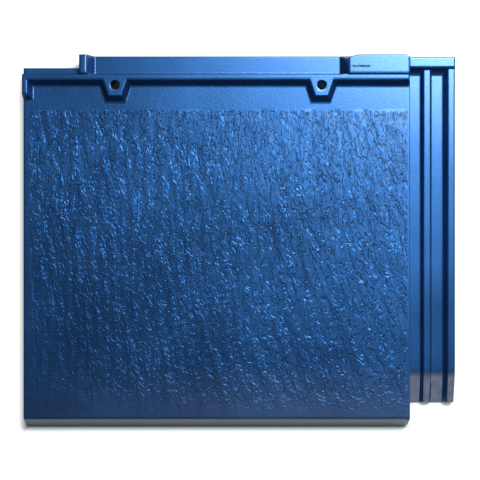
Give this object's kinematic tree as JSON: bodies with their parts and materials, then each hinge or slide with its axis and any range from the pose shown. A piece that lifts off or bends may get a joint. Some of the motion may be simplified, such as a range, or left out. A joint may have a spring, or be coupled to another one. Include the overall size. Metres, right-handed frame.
{
  "type": "flat roof tile",
  "caption": "Flat interlocking concrete roof tile with a slate-textured face, a ribbed side channel, a head ridge with nail bosses and a front lip.",
  "frame": {"origin": "under the middle of the tile's outline, on the plane that the lip, the channel and the lugs rest on", "axes": "+X across the roof towards the side channel, +Y up the roof towards the head, +Z out of the face"},
  "size_m": [0.424, 0.366, 0.036],
  "materials": {
    "painted_concrete": "satin metallic-blue paint on pressed concrete"
  },
  "bodies": {
    "root": {"roof_tile": "painted_concrete"}
  },
  "joints": []
}
